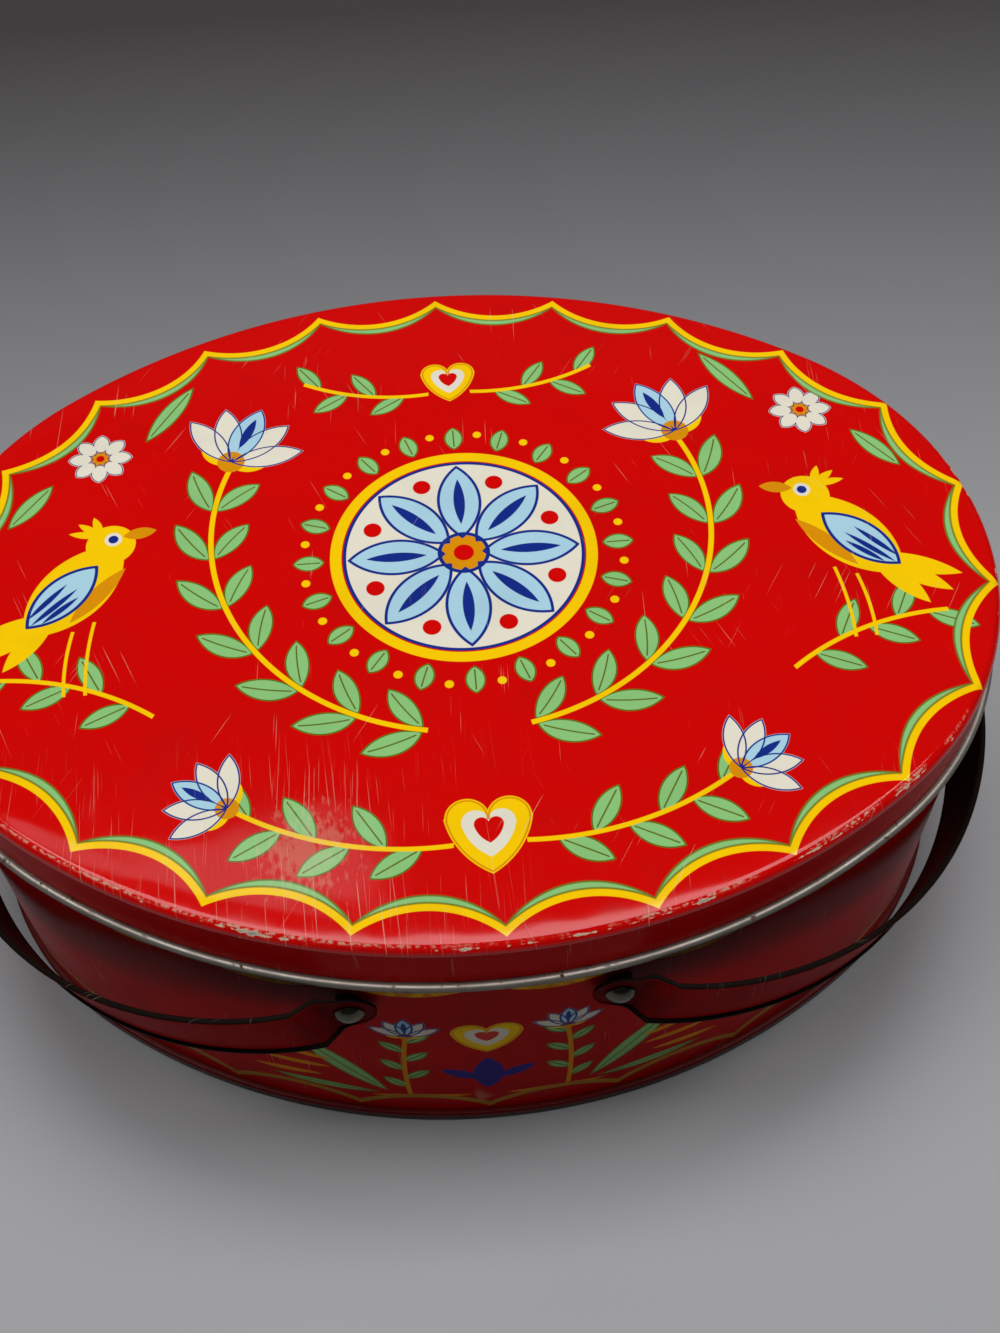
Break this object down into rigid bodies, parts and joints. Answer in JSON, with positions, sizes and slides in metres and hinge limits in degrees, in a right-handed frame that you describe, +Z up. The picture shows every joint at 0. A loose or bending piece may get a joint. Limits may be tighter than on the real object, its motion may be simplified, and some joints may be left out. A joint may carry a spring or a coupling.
{
  "type": "sewing tin",
  "caption": "Oval red tinplate sewing tin with a slip-over lid with a bare rolled edge, and strap handles that hang round the ends and swing up over the lid.",
  "frame": {"origin": "middle of the oval on the plane that the bottom rim stands on", "axes": "+X along the tin, +Y across it towards the back, +Z up"},
  "size_m": [0.3344, 0.2504, 0.12],
  "materials": {
    "printed_wall": "lithographed gloss red with a printed band",
    "printed_lid": "lithographed gloss red with a printed folk pattern, bare rolled edge",
    "bottom": "dark lacquer, worn",
    "handle": "red outside, black inside and on the rolled edges",
    "rivet": "dull tinned steel",
    "washer": "dull tinned steel"
  },
  "bodies": {
    "tin": {"body_wall": "printed_wall", "bottom_panel": "bottom", "rivet_left_front": "rivet", "rivet_left_back": "rivet", "rivet_right_front": "rivet", "rivet_right_back": "rivet", "spacer_left_front": "washer", "spacer_left_back": "washer", "spacer_right_front": "washer", "spacer_right_back": "washer", "backing_left_front": "washer", "backing_left_back": "washer", "backing_right_front": "washer", "backing_right_back": "washer"},
    "lid": {"lid": "printed_lid"},
    "left_handle": {"left_handle": "handle"},
    "right_handle": {"right_handle": "handle"}
  },
  "joints": [
    {"name": "lid_lift", "type": "slide", "parent": "tin", "child": "lid", "axis": [0, 0, 1], "range_m": [0, 0.13]},
    {"name": "left_handle_swing", "type": "hinge", "parent": "tin", "child": "left_handle", "pos_m": [-0.0365, 0, 0.0865], "axis": [0, -1, 0], "range_deg": [-115.5, 0]},
    {"name": "right_handle_swing", "type": "hinge", "parent": "tin", "child": "right_handle", "pos_m": [0.0365, 0, 0.0865], "axis": [0, 1, 0], "range_deg": [-115.5, 0]}
  ]
}
